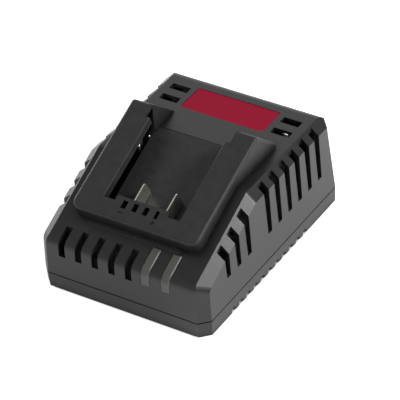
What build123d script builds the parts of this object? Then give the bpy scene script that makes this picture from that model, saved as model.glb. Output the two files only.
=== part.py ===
from build123d import *

import os
from math import cos, radians, sin, sqrt, tan

# A mains charger for slide-on power tool batteries: a wedge-shaped two-part case whose front
# slopes up as a ramp to a flat rear top. A dock with two rails stands on the ramp, open to the
# back, and the battery slides down it onto two blade terminals at the front.
# Frame: +X right seen from the front, +Y to the back, +Z up, origin under the middle of the case
# on the surface that it stands on. Millimetres and degrees.

# ---- case ------------------------------------------------------------------------------------
body_width = 110.0  # at the parting line
body_depth = 147.2
body_height = 60.0  # base underside to flat top
base_height = 9.8  # base underside to parting line
wall = 2.2
corner_chamfer = 5.7  # vertical corners
shell_draft = 1.3
rear_draft = 6.0
base_draft = 2.5
ramp_angle = 24.75
ramp_run = 58.2  # front of the case to the bend
crease_radius = 6.0  # front face to ramp
bend_radius = 6.0  # ramp to flat top
back_radius = 7.5  # flat top to back
strip_width = 5.7  # bevel along the ramp's and the flat top's sides
strip_drop = 5.2
strip_end_radius = 6.5
parting_gap = 0.7  # shadow line between the shells
tongue_thickness = 1.1
tongue_rise = 1.8
fit_clearance = 0.15

# ---- vents and windows -----------------------------------------------------------------------
side_vent_pitch = 11.03
side_vent_width = 4.0  # at its foot
side_vent_first = 24.2  # front edge of the front-most vent's foot, from the front of the case
side_vent_lean = 2.6  # of the front edges
side_vent_rows = (0, 1, 2, 4, 5, 6, 7, 8, 9)  # none at the bend
side_vent_bottom = 26.3  # above the base underside
vent_edge_margin = 1.1  # from a strip's inner edge to a vent's end
front_pitch = 11.0
front_vent_width = 4.2
front_vent_count = 5
front_vent_bottom = 24.1
front_vent_run = 10.6  # how far the vents reach up the ramp, from the front
pipe_width = 5.7
pipe_spacing = 13.2
pipe_run = 14.9
pipe_proud = 0.5
pipe_bevel = 0.45
pipe_flange = 1.2
pipe_flange_overlap = 1.2
back_vent_pitch = 11.2
back_vent_width = 3.8
back_vent_count = 7
back_vent_bottom = 34.0
back_vent_inset = 7.9  # where they end on top, from the back
top_vent_length = 12.0
top_vent_width = 5.2
top_vent_offset = 37.1  # centre, from the middle
top_vent_rows = (114.8, 125.9)  # centres, from the front
base_slot_pitch = 7.78
base_slot_width = 3.3
base_slot_foot = 4.6  # width at the underside
base_slot_first = 26.4  # front edge
base_slot_count = 11
base_slot_length = 17.0
base_notch_height = 2.8
rib_thickness = 1.5
rear_rib_inset = 13.2  # under the flat top, from the back of the case
rear_rib_half = 40.0
rear_rib_depth = 12.0  # below the flat top
side_rib_run = 109.6
side_rib_reach = 8.0  # from the case's side
side_rib_depth = 26.7

# ---- labels and feet -------------------------------------------------------------------------
label_length = 55.0
label_width = 20.8
label_centre = 120.7  # from the front
label_recess = 0.7
label_thickness = 0.5
label_front_corner = 2.6
label_rear_corner = 1.6
rating_length = 52.0
rating_width = 34.0
rating_thickness = 0.25
rating_recess = 0.35
rating_corner = 1.4
foot_diameter = 11.0
foot_stand = 0.8
foot_recess = 1.0
foot_offset = 30.0
foot_inset = 12.0

# ---- dock ------------------------------------------------------------------------------------
dock_angle = 22.9
dock_front = 15.5  # front top edge, from the front of the case
dock_front_height = 49.6  # above the base underside
deck_length = 74.0  # along the slope
dock_half_width = 41.1
dock_side_draft = 1.5
dock_corner_radius = 5.5
dock_edge_radius = 2.0
dock_ridge_radius = 2.0  # deck to tail, and down the tail's sides
tail_angle = 40.4  # slope behind the rails
opening_half = 24.8
groove_half = 27.9  # the lips end at the rear, where the opening is as wide as the groove
entry_length = 8.3
lip_edge_radius = 0.5
front_bar = 11.5
nose_half = 17.0  # bar part that reaches further over the terminals
nose_reach = 3.4
lip_thickness = 5.2
window_length = 5.0
window_start = 8.0
contact_pitch = 7.0
window_widths = (3.1, 3.1, 3.1, 2.1)
pocket_depth = 18.7  # deck to pocket floor
pocket_half = 29.0
pocket_edge = 88.4  # where the floor meets the flat top, from the front
pocket_bead_radius = 0.8  # along that edge
pocket_bead_height = 0.35
rail_wall_start = 84.0  # solid rail walls from here to the back
rail_gap_start = 13.5  # side openings beside the floor, along the deck
tail_corner = 6.0
mark_size = 2.6
mark_line = 0.7
mark_along = 5.2
mark_depth = 0.35

# ---- terminals -------------------------------------------------------------------------------
blade_thickness = 0.8
blade_top = 7.4  # below the deck
blade_end = 30.3  # along the deck
blade_corner = 1.6
blade_root = 7.9
blade_foot = 0.2  # above the pocket floor
tail_width = 4.0
tail_length = 5.0  # below the pocket floor's underside
block_half = 16.5
block_front = 6.6  # along the deck
block_setback = 0.6  # rear face inside the bar's
block_gap = 0.2
slot_clearance = 0.05
signal_thickness = 0.5
signal_top = 11.0
signal_foot = 2.7  # above the pocket floor
signal_end = 19.5
signal_tail = 2.0
lug_offset = 20.6
lug_along = 9.8
lug_radius = 3.2
lug_thickness = 3.0
lug_boss = 3.0

# ---- fasteners -------------------------------------------------------------------------------
case_screw_radius = 1.5
case_screw_length = 14.0
case_screw_side = 9.0  # from the case's side
case_screw_inset = 11.5  # from the case's ends
case_seat_depth = 4.6  # head's seat below the base boss's top
case_boss_radius = 4.0
case_boss_rise = 1.0  # base boss top above the parting line
small_screw_radius = 1.25
small_screw_length = 6.5
small_boss_radius = 3.0
head_overhang = 1.1
head_height = 1.6
drive_width = 0.6
drive_depth = 0.8
hole_clearance = 0.15
thread_clearance = 0.05
tip_clearance = 0.5  # hole below a screw's tip
front_post_run = 27.0  # dock's front screw posts, from the front of the case
rear_post_run = 92.0
post_wall_gap = 1.5

# ---- board -----------------------------------------------------------------------------------
board_side_gap = 8.0  # from the case's side at the parting line
board_boss_gap = 1.0  # around the case's screw bosses
board_front_gap = 9.0  # from the case's front
board_back_gap = 11.2  # from the case's back
board_thickness = 1.6
board_height = 10.4  # board's underside above the base's
board_corner = 2.0
board_hole_offset = 34.0
board_hole_rows = (22.0, 130.0)
lead_clearance = 0.1
lead_stub = 1.4
lead_root = 1.0  # how far leads reach up into their part
leg_radius = 0.2
leg_thickness = 0.3
thin_lead_radius = 0.3
lead_radius = 0.4

# ---- inlet, two-pin figure-eight -------------------------------------------------------------
inlet_x = -18.0
inlet_width = 19.6
inlet_height = 12.0
inlet_depth = 16.5
inlet_sink = 0.4
inlet_flange = 1.4
inlet_clearance = 0.2
inlet_lobe = 4.1
inlet_waist = 6.6
inlet_pin_spacing = 8.6
inlet_pin_radius = 1.2
inlet_pin_length = 9.0
inlet_cavity = 12.0
inlet_tail_radius = 0.6

# ---- parts on the board: places are x and the distance from the front of the case ------------
led_run = 14.0
led_radius = 1.5
led_flange = 0.4
led_body = 4.0  # straight part under the dome
led_stand = 3.0
led_gap = 0.3
stem_half = 2.2
stem_length = 6.0
transformer_place = (3.0, 74.5)
core_thickness = 10.0
core_leg = 8.0
core_side = 4.5
core_window = 7.0
core_length = 20.0
bobbin_wall = 0.9
bobbin_flange = 1.0
bobbin_gap = 0.2
bobbin_height = 23.5
bobbin_foot = 6.6
bobbin_pin_pitch = 5.0
core_corner = 1.0
winding_build = 4.0
winding_gap = 0.1
choke_place = (-26.5, 87.0)
choke_inner = 5.0
choke_outer = 9.0
choke_thickness = 8.0
choke_build = 1.4
choke_edge = 0.6
choke_arc = 120.0
bulk_place = (0.0, 110.0)
bulk_radius = 9.0
bulk_height = 32.0
bulk_pitch = 7.5
output_places = ((20.0, 48.0), (31.0, 48.0))
output_radius = 5.0
output_height = 16.0
output_pitch = 5.0
film_place = (-26.0, 106.0)
film_size = (18.0, 9.0, 15.0)
film_pitch = 15.0
film_corner = 0.8
fuse_place = (-32.0, 118.5)
fuse_size = (8.4, 4.2, 8.0)
fuse_pitch = 5.08
bridge_place = (0.0, 124.2)
bridge_size = (14.5, 3.5, 10.5)
bridge_pitch = 3.81
bridge_stand = 1.0
moulded_corner = 0.6
thermistor_place = (-20.0, 118.5)
thermistor_radius = 4.5
thermistor_thickness = 4.0
safety_place = (-22.0, 66.0)
safety_radius = 3.8
safety_thickness = 3.4
disc_pitch = 5.0
disc_stand = 1.0
coupler_places = ((26.0, 66.0), (26.0, 76.0))
coupler_size = (6.4, 4.6, 3.4)
chip_row = 7.62
controller_place = (24.0, 98.0)
controller_size = (6.4, 9.4, 3.4)
micro_place = (0.0, 24.0)
micro_size = (10.3, 7.5, 2.3)
micro_row = 11.4
chip_lift = 0.4
primary_sink_place = (24.0, 114.0)
primary_sink_size = (24.0, 2.5, 24.0)
secondary_sink_place = (-5.0, 51.0)
secondary_sink_size = (30.0, 2.5, 20.0)
fin_depth = 6.0
fin_thickness = 1.4
fin_pitch = 4.6
sink_pin_radius = 0.7
package_width = 10.0
package_body = 9.0
package_depth = 4.4
package_tab = 1.3
package_height = 15.4
package_stand = 3.0
package_hole = 2.8  # from the tab's top
lead_pitch = 2.54
power_lead_radius = 1.1
power_lead_row = 38.5
signal_lead_radius = 0.6
signal_lead_row = 35.5
sleeve_wall = 0.8
sleeve_length = 4.4

# ---- derived places --------------------------------------------------------------------------
front_y = -body_depth / 2
underside_z = foot_stand
split_z = underside_z + base_height
top_z = underside_z + body_height
lean = tan(radians(shell_draft))
bend_y = front_y + ramp_run
half_width_top = body_width / 2 - lean * (top_z - split_z)
rear_lean = tan(radians(rear_draft))
vent_inner_x = half_width_top - strip_width + vent_edge_margin
far = 3 * body_depth  # longer than anything here
touching = 0.01  # nearer than this is on the surface

ramp = Plane(
    origin=(0, bend_y, top_z),
    x_dir=(1, 0, 0),
    z_dir=(0, -sin(radians(ramp_angle)), cos(radians(ramp_angle))),
)
deck = Plane(
    origin=(0, front_y + dock_front, underside_z + dock_front_height),
    x_dir=(1, 0, 0),
    z_dir=(0, -sin(radians(dock_angle)), cos(radians(dock_angle))),
)
pocket = deck.offset(-pocket_depth)
dock_inner_half = dock_half_width - wall

front_vent_xs = [front_pitch * (n - 3.5) for n in range(front_vent_count)]
pipe_xs = [front_pitch * 1.5, front_pitch * 1.5 + pipe_spacing]
led_y = front_y + led_run
side_vent_ys = [front_y + side_vent_first + side_vent_pitch * n for n in side_vent_rows]
back_vent_xs = [back_vent_pitch * (n - (back_vent_count - 1) / 2) for n in range(back_vent_count)]
base_slot_ys = [front_y + base_slot_first + base_slot_pitch * n for n in range(base_slot_count)]
contact_xs = [contact_pitch * (n - 1.5) for n in range(4)]
case_screw_x = body_width / 2 - case_screw_side
case_screw_y = body_depth / 2 - case_screw_inset
case_screw_places = [
    (side * case_screw_x, end * case_screw_y) for side in (-1, 1) for end in (-1, 1)
]
foot_places = {
    "foot_front_left": (-foot_offset, front_y + foot_inset),
    "foot_front_right": (foot_offset, front_y + foot_inset),
    "foot_rear_left": (-foot_offset, -front_y - foot_inset),
    "foot_rear_right": (foot_offset, -front_y - foot_inset),
}

board_z = underside_z + board_height
board_top_z = board_z + board_thickness
board_hole_places = [
    (side * board_hole_offset, front_y + run) for side in (-1, 1) for run in board_hole_rows
]
deck_cos = cos(radians(dock_angle))
deck_sin = sin(radians(dock_angle))
entry_start = deck_length - entry_length
bar_end = front_bar + nose_reach
block_back = bar_end - block_setback
apex_y = deck.origin.Y + deck_length * deck_cos
apex_z = deck.origin.Z + deck_length * deck_sin
tail_end_y = apex_y + (apex_z - top_z) / tan(radians(tail_angle))
tail_depth = (tail_end_y - apex_y) * deck_sin + (apex_z - top_z) * deck_cos
foot_half = dock_half_width + tan(radians(dock_side_draft)) * tail_depth
inlet_top_z = board_top_z + inlet_height
tail_slots = [
    (contact_xs[0], blade_thickness, tail_width),
    (contact_xs[1], signal_thickness, signal_tail),
    (contact_xs[2], signal_thickness, signal_tail),
    (contact_xs[3], blade_thickness, tail_width),
]
lead_places = []

low = (Align.CENTER, Align.CENTER, Align.MIN)
high = (Align.CENTER, Align.CENTER, Align.MAX)
made = {}


def keep(name, piece):
    """Label a finished piece and write it under its name."""
    piece.label = name
    made[name] = piece
    export_step(piece, f"parts/{name}.step")


def block_between(x, y, z):
    """Box from (low, high) pairs on the three axes."""
    size = [pair[1] - pair[0] for pair in (x, y, z)]
    middle = [(pair[1] + pair[0]) / 2 for pair in (x, y, z)]
    with Locations(tuple(middle)):
        return Box(*size)


def block_between_private(x, y, z):
    """The same box as a loose object, for use in a later add."""
    with BuildPart() as loose:
        block_between(x, y, z)
    return loose.part


def deck_box(x, along, depth):
    """Box in the deck's frame: x, distance up the slope, and depth below the deck as pairs."""
    with BuildPart() as loose:
        with BuildSketch(deck.offset(-depth[1])):
            with Locations(((x[0] + x[1]) / 2, (along[0] + along[1]) / 2)):
                Rectangle(x[1] - x[0], along[1] - along[0])
        extrude(amount=depth[1] - depth[0])
    return loose.part


def case_form(inset, base_z):
    """Solid inside the upper case's outer faces, moved in by inset, from base_z to the top."""
    shrink = inset + lean * (base_z - split_z)
    half_x = body_width / 2 - shrink
    half_y = body_depth / 2 - shrink
    with BuildPart() as form:
        with BuildSketch(Plane.XY.offset(base_z)):
            with Locations((0, wall)):
                Rectangle(2 * half_x, 2 * (half_y + wall))
        extrude(amount=top_z - inset - base_z, taper=shell_draft)
        split(bisect_by=ramp.offset(-inset), keep=Keep.BOTTOM)
        back = Plane(origin=(0, body_depth / 2, split_z), z_dir=(0, 1, rear_lean))
        split(bisect_by=back.offset(-inset), keep=Keep.BOTTOM)
        across = form.edges().filter_by(Axis.X)
        fillet(across.group_by(Axis.Z)[1], crease_radius - inset)
        across = form.edges().filter_by(Axis.X)
        fillet(across.group_by(Axis.Z)[-1].sort_by(Axis.Y)[0], bend_radius - inset)
        across = form.edges().filter_by(Axis.X)
        fillet(across.group_by(Axis.Z)[-1].sort_by(Axis.Y)[-1], back_radius - inset)
        for side in (-1, 1):
            for end, slant in ((-1, lean), (1, rear_lean)):
                corner = Plane(
                    origin=(side * body_width / 2, end * (body_depth / 2 - corner_chamfer), split_z),
                    z_dir=(side, end, lean + slant),
                )
                split(bisect_by=corner.offset(-inset), keep=Keep.BOTTOM)
            slope = Plane(
                origin=(side * (half_width_top - strip_width), bend_y, top_z),
                z_dir=(
                    side * strip_drop * cos(radians(ramp_angle)),
                    -strip_width * sin(radians(ramp_angle)),
                    strip_width * cos(radians(ramp_angle)),
                ),
            )
            split(bisect_by=slope.offset(-inset), keep=Keep.BOTTOM)
            level = Plane(
                origin=(side * (half_width_top - strip_width), 0, top_z),
                z_dir=(side * strip_drop, 0, strip_width),
            )
            split(bisect_by=level.offset(-inset), keep=Keep.BOTTOM)
        for side in (-1, 1):
            beside = (side * body_width / 2, front_y, split_z + base_height)
            panel = form.faces().sort_by_distance(beside)[0]
            fillet(panel.edges().sort_by(Axis.Z)[-1], strip_end_radius - inset)
            bend = Vector(side * (half_width_top - strip_width / 2), bend_y, top_z - strip_drop / 2)
            straight = form.edges().filter_by(GeomType.LINE)
            fillet(min(straight, key=lambda edge: (edge.center() - bend).length), bend_radius - inset)
    return form.part


def base_form(inset, depth):
    """Solid inside the base's outer faces, from the parting line down by depth."""
    downward = Plane(origin=(0, 0, split_z), x_dir=(1, 0, 0), z_dir=(0, 0, -1))
    with BuildPart() as form:
        with BuildSketch(downward) as plan:
            Rectangle(body_width - 2 * inset, body_depth - 2 * inset)
            chamfer(plan.vertices(), corner_chamfer - inset * (2 - sqrt(2)))
        extrude(amount=depth, taper=base_draft)
    return form.part


def rim(outer_inset, inner_inset, bottom_z, rise):
    """Ring along the parting line between two insets."""
    with BuildPart() as ring:
        with BuildSketch(Plane.XY.offset(bottom_z)):
            for inset, mode in ((outer_inset, Mode.ADD), (inner_inset, Mode.SUBTRACT)):
                with BuildSketch(mode=mode) as plan:
                    Rectangle(body_width - 2 * inset, body_depth - 2 * inset)
                    chamfer(plan.vertices(), corner_chamfer - inset * (2 - sqrt(2)))
        extrude(amount=rise)
    return ring.part


def dock_form(inset, depth=40.0):
    """Solid inside the dock's outer faces, moved in by inset, from the deck down through the case."""
    spread = tan(radians(dock_side_draft)) * depth
    reach = deck_length + depth
    with BuildPart() as form:
        with BuildSketch(deck.offset(-depth)) as plan:
            with Locations((0, inset - spread)):
                Rectangle(
                    2 * (dock_half_width - inset + spread), reach, align=(Align.CENTER, Align.MIN)
                )
            front = plan.vertices().group_by(Axis.Y)[0]
            fillet(front, dock_corner_radius - inset + spread)
        extrude(amount=depth - inset, taper=dock_side_draft)
        tail = Plane(
            origin=(0, apex_y, apex_z),
            z_dir=(0, sin(radians(tail_angle)), cos(radians(tail_angle))),
        )
        split(bisect_by=tail.offset(-inset), keep=Keep.BOTTOM)
        with BuildSketch(Plane.XY) as outline:
            with Locations((0, tail_end_y - inset)):
                Rectangle(2 * (foot_half - inset), far, align=(Align.CENTER, Align.MAX))
            rear = outline.vertices().group_by(Axis.Y)[-1]
            fillet(rear, tail_corner - inset)
        extrude(amount=far, mode=Mode.INTERSECT)
    return form.part


def label_form(inset, thickness):
    """Plate of the label's outline, moved in by inset, standing on the floor of its recess."""
    with BuildPart() as form:
        with BuildSketch(Plane.XY.offset(top_z - label_recess)) as plan:
            with Locations((0, front_y + label_centre)):
                Rectangle(label_length - 2 * inset, label_width - 2 * inset)
            ends = plan.vertices().group_by(Axis.Y)
            fillet(ends[0], label_front_corner - inset)
            ends = plan.vertices().group_by(Axis.Y)
            fillet(ends[-1], label_rear_corner - inset)
        extrude(amount=thickness)
    return form.part


def case_wedge():
    """Everything under the planes of the ramp and the flat top."""
    with BuildPart() as wedge:
        block_between((-far, far), (-far, far), (-far, top_z))
        split(bisect_by=ramp, keep=Keep.BOTTOM)
    return wedge.part


def screw(place, radius, length):
    """Pan-head screw: its seat is the plane's origin and its tip points against the plane's normal."""
    with BuildPart() as body:
        with Locations(place):
            Cylinder(radius, length, align=high)
            Cylinder(radius + head_overhang, head_height, align=low)
        rim_edges = body.edges().filter_by(GeomType.CIRCLE).group_by(SortBy.RADIUS)[-1]
        outermost = rim_edges.sort_by(Axis(place.origin, place.z_dir))[-1]
        fillet(outermost, head_height / 3)
        for turn in (0, 90):
            with Locations(place.location * Location((0, 0, head_height), (0, 0, turn))):
                Box(2 * radius, drive_width, 2 * drive_depth, mode=Mode.SUBTRACT)
    return body.part


def gather(pieces):
    """Several loose solids as one part."""
    with BuildPart() as group:
        for piece in pieces:
            add(piece)
    return group.part


def leads(places, radius, top):
    """Straight leads from top down through the board, each with its hole in the board."""
    with BuildPart() as pins:
        for x, y in places:
            with Locations((x, y, top)):
                Cylinder(radius, top - board_z + lead_stub, align=high)
            lead_places.append((x, y, radius))
    return pins.part


def boxed(place, size, lift, corner, pins, pin_radius):
    """Moulded part with rounded upper edges, standing on the board on its pins."""
    x, y = place[0], front_y + place[1]
    with BuildPart() as body:
        with Locations((x, y, board_top_z + lift)):
            Box(*size, align=low)
        fillet(body.edges().group_by(Axis.Z)[-1], corner)
        add(leads([(x + px, y + py) for px, py in pins], pin_radius, board_top_z + lift + corner))
    return body.part


def can(place, radius, height, spacing):
    """Electrolytic capacitor with a rolled lower edge and a scored top."""
    x, y = place[0], front_y + place[1]
    score = radius / 20
    with BuildPart() as body:
        with Locations((x, y, board_top_z)):
            Cylinder(radius, height, align=low)
        fillet(body.edges().group_by(Axis.Z)[-1], 2 * score)
        with Locations((x, y, board_top_z + radius / 4)):
            Torus(radius, score, mode=Mode.SUBTRACT)
        for turn in (0, 90):
            with Locations(Location((x, y, board_top_z + height), (0, 0, turn))):
                Box(radius, score, 2 * score, mode=Mode.SUBTRACT)
        pins = [(x - spacing / 2, y), (x + spacing / 2, y)]
        add(leads(pins, lead_radius, board_top_z + lead_root))
    return body.part


def disc(place, radius, thickness, spacing):
    """Coated disc standing on two leads."""
    x, y = place[0], front_y + place[1]
    centre_z = board_top_z + disc_stand + radius
    with BuildPart() as body:
        with Locations(Location((x, y, centre_z), (90, 0, 0))):
            Cylinder(radius, thickness)
        fillet(body.edges(), thickness / 3)
        pins = [(x - spacing / 2, y), (x + spacing / 2, y)]
        add(leads(pins, thin_lead_radius, centre_z - radius / 2))
    return body.part


def heatsink(place, size, holes):
    """Finned plate standing on the board, fins to the rear, with tapped holes in its front face."""
    x, y = place[0], front_y + place[1]
    with BuildPart() as body:
        with Locations((x, y, board_top_z)):
            Box(*size, align=low)
        count = int((size[0] - fin_thickness) / fin_pitch) + 1
        for n in range(count):
            fin_x = x + fin_pitch * (n - (count - 1) / 2)
            with Locations((fin_x, y + size[1] / 2, board_top_z)):
                Box(fin_thickness, fin_depth, size[2], align=(Align.CENTER, Align.MIN, Align.MIN))
        for hole_z in holes:
            with Locations(Location((x, y, hole_z), (90, 0, 0))):
                Cylinder(
                    small_screw_radius + thread_clearance,
                    2 * (size[1] + fin_depth),
                    mode=Mode.SUBTRACT,
                )
        pins = [(x - size[0] / 3, y), (x + size[0] / 3, y)]
        add(leads(pins, sink_pin_radius, board_top_z + lead_root))
    return body.part


def power_package(place, sink_size):
    """Three-lead power package with its tab flat on a heatsink's front face."""
    x, y = place[0], front_y + place[1] - sink_size[1] / 2
    bottom = board_top_z + package_stand
    with BuildPart() as body:
        with Locations((x, y, bottom)):
            Box(
                package_width,
                package_depth,
                package_body,
                align=(Align.CENTER, Align.MAX, Align.MIN),
            )
            Box(
                package_width,
                package_tab,
                package_height,
                align=(Align.CENTER, Align.MAX, Align.MIN),
            )
        with Locations(Location((x, y, bottom + package_height - package_hole), (90, 0, 0))):
            Cylinder(small_screw_radius + hole_clearance, 4 * package_tab, mode=Mode.SUBTRACT)
        lead_y = y - package_depth / 2
        pins = [(x + lead_pitch * n, lead_y) for n in (-1, 0, 1)]
        add(leads(pins, lead_radius, bottom + lead_root))
    return body.part


def chip(place, size, count, row):
    """Chip body over two rows of legs through the board."""
    x, y = place[0], front_y + place[1]
    pitch = size[1] / count
    with BuildPart() as body:
        with Locations((x, y, board_top_z + chip_lift)):
            Box(*size, align=low)
        chamfer(body.edges().group_by(Axis.Z)[-1], size[2] / 8)
        shoulder = board_top_z + chip_lift + size[2] / 2
        for n in range(count):
            with Locations((x, y + pitch * (n - (count - 1) / 2), shoulder)):
                Box(row + 2 * leg_radius, pitch / 3, leg_thickness, align=low)
        leg_ys = [y + pitch * (n - (count - 1) / 2) for n in range(count)]
        legs = [(x + side * row / 2, leg_y) for side in (-1, 1) for leg_y in leg_ys]
        add(leads(legs, leg_radius, shoulder + leg_thickness))
    return body.part


def contact(x, thickness, top, bottom, end, foot_width, corner):
    """Flat contact in a vertical plane, with a tail down through the pocket floor."""
    tail_bottom = pocket_depth + wall + tail_length
    with BuildPart() as plate:
        add(deck_box((x - thickness / 2, x + thickness / 2), (blade_root, end), (top, bottom)))
        far_end = plate.edges().filter_by(Axis.X).sort_by(Axis(deck.origin, deck.y_dir))[-2:]
        fillet(far_end.sort_by(Axis.Z)[-1], corner)
        add(
            deck_box(
                (x - thickness / 2, x + thickness / 2),
                (blade_root, blade_root + foot_width),
                (top, tail_bottom),
            )
        )
    return plate.part


def lead_to_board(x, thickness, foot_width, radius, row):
    """Insulated lead: a sleeve pushed on a contact's tail, and a wire down into the board."""
    tail_bottom = pocket_depth + wall + tail_length
    half = thickness / 2 + slot_clearance
    middle = blade_root + foot_width / 2
    sleeve_half = max(half + sleeve_wall, radius)
    reach = max(foot_width / 2 + slot_clearance + sleeve_wall, radius)
    end_depth = tail_bottom + sleeve_wall
    start = deck.from_local_coords((x, middle, -end_depth))
    finish_at = (x, front_y + row, board_top_z)
    with BuildPart() as lead:
        add(
            deck_box(
                (x - sleeve_half, x + sleeve_half),
                (middle - reach, middle + reach),
                (end_depth - sleeve_length, end_depth),
            )
        )
        add(
            deck_box(
                (x - half, x + half),
                (blade_root - slot_clearance, blade_root + foot_width + slot_clearance),
                (0, tail_bottom + slot_clearance),
            ),
            mode=Mode.SUBTRACT,
        )
        with BuildLine() as path:
            Spline(start, finish_at, tangents=(-deck.z_dir, (0, 0, -1)))
        with BuildSketch(Plane(origin=finish_at, z_dir=(0, 0, 1))):
            Circle(radius)
        sweep(path=path.line)
        add(leads([(x, front_y + row)], radius / 2, board_top_z + lead_root))
    return lead.part


os.makedirs("parts", exist_ok=True)

# ---- base shell ------------------------------------------------------------------------------
tongue = rim(
    tongue_thickness + fit_clearance, wall, split_z - parting_gap, tongue_rise + parting_gap
)
case_boss_top = split_z + case_boss_rise
case_seat_z = case_boss_top - case_seat_depth

with BuildPart() as base_slots:
    with BuildSketch(Plane.YZ.offset(body_width / 2 - base_slot_length)):
        for y in base_slot_ys:
            with Locations((y, underside_z)):
                Polygon(
                    (0, -wall),
                    (0, base_notch_height),
                    (base_slot_width, base_notch_height),
                    (base_slot_foot, 0),
                    (base_slot_foot, -wall),
                    align=None,
                )
    extrude(amount=far)
    mirror(about=Plane.YZ)

with BuildPart() as base_shell:
    add(base_form(0, base_height))
    add(base_form(wall, base_height - wall), mode=Mode.SUBTRACT)
    with Locations((0, 0, split_z)):
        Box(2 * body_width, 2 * body_depth, parting_gap, mode=Mode.SUBTRACT)
    add(tongue)
    for x, y in case_screw_places:
        with Locations((x, y, underside_z)):
            Cylinder(case_boss_radius, case_boss_top - underside_z, align=low)
    for x, y in board_hole_places:
        with Locations((x, y, underside_z)):
            Cylinder(small_boss_radius, board_z - underside_z, align=low)
    for x, y in case_screw_places:
        with Locations((x, y, underside_z)):
            Cylinder(
                case_screw_radius + hole_clearance,
                case_boss_top - underside_z,
                align=low,
                mode=Mode.SUBTRACT,
            )
            Cylinder(
                case_screw_radius + head_overhang + hole_clearance,
                case_seat_z - underside_z,
                align=low,
                mode=Mode.SUBTRACT,
            )
    for x, y in board_hole_places:
        with Locations((x, y, board_z)):
            Cylinder(
                small_screw_radius + thread_clearance,
                small_screw_length - board_thickness + tip_clearance,
                align=high,
                mode=Mode.SUBTRACT,
            )
    for x, y in foot_places.values():
        with Locations((x, y, underside_z)):
            Cylinder(
                foot_diameter / 2 + fit_clearance, foot_recess, align=low, mode=Mode.SUBTRACT
            )
    add(base_slots.part, mode=Mode.SUBTRACT)
    with Locations((0, 0, underside_z)):
        Box(rating_width, rating_length, rating_recess, align=low, mode=Mode.SUBTRACT)
    with Locations((inlet_x, body_depth / 2, split_z - parting_gap / 2)):
        Box(
            inlet_width + 2 * inlet_flange + 2 * inlet_clearance,
            4 * wall,
            2 * tongue_rise,
            align=low,
            mode=Mode.SUBTRACT,
        )
keep("base_shell", base_shell.part)

with BuildPart() as rating_label:
    with BuildSketch(Plane.XY.offset(underside_z + rating_recess - rating_thickness)):
        RectangleRounded(
            rating_width - 2 * fit_clearance, rating_length - 2 * fit_clearance, rating_corner
        )
    extrude(amount=rating_thickness)
keep("rating_label", rating_label.part)

for name, (x, y) in foot_places.items():
    with BuildPart() as foot:
        with Locations((x, y, 0)):
            Cylinder(foot_diameter / 2, foot_stand + foot_recess, align=low)
        fillet(foot.edges().group_by(Axis.Z)[0], foot_stand / 3)
    keep(name, foot.part)

# ---- top shell -------------------------------------------------------------------------------
outer = case_form(0, split_z)
inner = case_form(wall, split_z)

with BuildPart() as boss_posts:
    for x, y in case_screw_places:
        with Locations((x, y, case_boss_top)):
            Cylinder(case_boss_radius, top_z, align=low)
    add(outer, mode=Mode.INTERSECT)

front_post_x = dock_inner_half - small_boss_radius - post_wall_gap
rear_post_x = (dock_inner_half + groove_half + wall) / 2
front_post_planes = [
    Plane(
        origin=ramp.from_local_coords(
            (side * front_post_x, (front_post_run - ramp_run) / cos(radians(ramp_angle)), 0)
        ),
        x_dir=(1, 0, 0),
        z_dir=-ramp.z_dir,
    )
    for side in (-1, 1)
]
rear_post_planes = [
    Plane(origin=(side * rear_post_x, front_y + rear_post_run, top_z), z_dir=(0, 0, -1))
    for side in (-1, 1)
]
lug_planes = [
    Plane(
        origin=pocket.from_local_coords((side * lug_offset, lug_along, lug_thickness)),
        x_dir=(1, 0, 0),
        z_dir=pocket.z_dir,
    )
    for side in (-1, 1)
]

with BuildPart() as pocket_floor:
    with BuildSketch(pocket.offset(-wall)):
        with Locations((0, block_front - block_gap - wall)):
            Rectangle(2 * pocket_half, far, align=(Align.CENTER, Align.MIN))
    extrude(amount=wall)
    add(
        block_between_private((-far, far), (-far, front_y + pocket_edge + wall), (0, top_z)),
        mode=Mode.INTERSECT,
    )
    add(outer, mode=Mode.INTERSECT)

rear_rib_y = -front_y - rear_rib_inset
side_rib_y = front_y + side_rib_run
with BuildPart() as ribs:
    block_between(
        (-rear_rib_half, rear_rib_half),
        (rear_rib_y - rib_thickness / 2, rear_rib_y + rib_thickness / 2),
        (top_z - rear_rib_depth, top_z - wall / 2),
    )
    for side in (-1, 1):
        inner_x = side * (body_width / 2 - side_rib_reach)
        outer_x = side * (body_width / 2)
        block_between(
            tuple(sorted((inner_x, outer_x))),
            (side_rib_y - rib_thickness / 2, side_rib_y + rib_thickness / 2),
            (top_z - side_rib_depth, top_z),
        )
    add(outer, mode=Mode.INTERSECT)

pocket_start = block_front - block_gap
with BuildPart() as pocket_wall:
    add(
        deck_box(
            (-pocket_half, pocket_half),
            (pocket_start - wall, pocket_start),
            (0, pocket_depth + wall),
        )
    )
    add(outer, mode=Mode.INTERSECT)

with BuildPart() as dock_hole:
    add(deck_box((-pocket_half, pocket_half), (pocket_start, far), (-far, pocket_depth)))
    for side in (-1, 1):
        inner_x, outer_x = sorted((side * pocket_half, side * dock_inner_half))
        add(deck_box((inner_x, outer_x), (rail_gap_start, far), (-far, pocket_depth + body_height)))
    add(
        block_between_private((-far, far), (-far, front_y + rail_wall_start), (top_z - far, far)),
        mode=Mode.INTERSECT,
    )
with BuildPart() as pocket_mouth:
    add(
        block_between_private(
            (-pocket_half, pocket_half), (bend_y, front_y + pocket_edge), (split_z, far)
        )
    )
    split(bisect_by=pocket, keep=Keep.TOP)

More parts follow.
